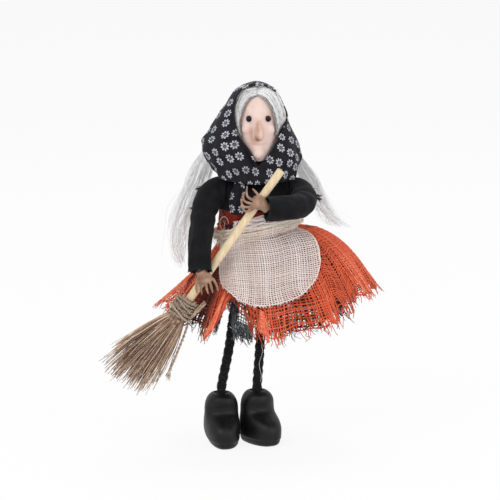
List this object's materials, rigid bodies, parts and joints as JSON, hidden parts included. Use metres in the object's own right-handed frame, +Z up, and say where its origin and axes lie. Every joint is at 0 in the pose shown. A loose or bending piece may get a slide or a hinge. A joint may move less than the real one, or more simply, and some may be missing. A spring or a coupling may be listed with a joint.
{
  "type": "kitchen witch doll",
  "caption": "Standing cloth doll of an old kitchen witch in headscarf, net skirt and gauze apron, holding a small straw broom across the body with both hands.",
  "frame": {"origin": "on the floor under the centre of the bounding box", "axes": "+Z up, the doll faces -Y, and its own left side is +X"},
  "size_m": [0.1884, 0.104, 0.2504],
  "materials": {
    "shoe_black": "satin black",
    "leg_cord": "matte black braid",
    "wire": "plain",
    "stuffing_cloth": "matte",
    "dowel": "bare",
    "red_cloth": "matte",
    "orange_net": "open-weave jute",
    "grey_net": "fine net",
    "gauze": "open gauze",
    "twine": "twisted jute",
    "face_cloth": "smooth knit",
    "bead": "gloss",
    "calico": "printed cotton",
    "hair": "silky",
    "black_cloth": "matte",
    "hand_resin": "cast resin",
    "straw": "dry brush"
  },
  "bodies": {
    "body": {"torso": "stuffing_cloth", "neck_dowel": "dowel", "bodice": "red_cloth", "skirt": "orange_net", "petticoat": "grey_net", "apron": "gauze", "belt_cord": "twine", "belt_knot": "twine", "scarf_tail": "calico"},
    "head": {"head": "face_cloth", "nose": "face_cloth", "right_eye_bead": "bead", "left_eye_bead": "bead", "headscarf": "calico", "right_front_lock": "hair", "left_front_lock": "hair", "right_long_hair": "hair", "left_long_hair": "hair"},
    "arms": {"arm_wire": "wire", "right_sleeve": "black_cloth", "left_sleeve": "black_cloth", "right_hand": "hand_resin", "left_hand": "hand_resin"},
    "broom": {"broom_handle": "dowel", "broom_bristles": "straw", "broom_binding": "twine", "binding_tail": "twine", "tail_knot": "twine"},
    "right_leg": {"right_shoe": "shoe_black", "right_leg_cord": "leg_cord", "right_leg_wire": "wire"},
    "left_leg": {"left_shoe": "shoe_black", "left_leg_cord": "leg_cord", "left_leg_wire": "wire"}
  },
  "joints": [
    {"name": "head_turn", "type": "hinge", "parent": "body", "child": "head", "pos_m": [0.01171, -0.00219, 0.197], "axis": [0, 0, 1], "range_deg": [-12, 12]},
    {"name": "arms_lift", "type": "hinge", "parent": "body", "child": "arms", "pos_m": [0.01121, -0.00219, 0.1746], "axis": [-1, 0, 0], "range_deg": [0, 12]},
    {"name": "broom_slide", "type": "slide", "parent": "arms", "child": "broom", "axis": [-0.575, 0, -0.8181], "range_m": [0, 0.02]},
    {"name": "right_hip", "type": "hinge", "parent": "body", "child": "right_leg", "pos_m": [0.00121, 0.00081, 0.122], "axis": [-1, 0, 0], "range_deg": [-15, 30]},
    {"name": "left_hip", "type": "hinge", "parent": "body", "child": "left_leg", "pos_m": [0.01621, 0.00081, 0.122], "axis": [-1, 0, 0], "range_deg": [-15, 30]}
  ]
}
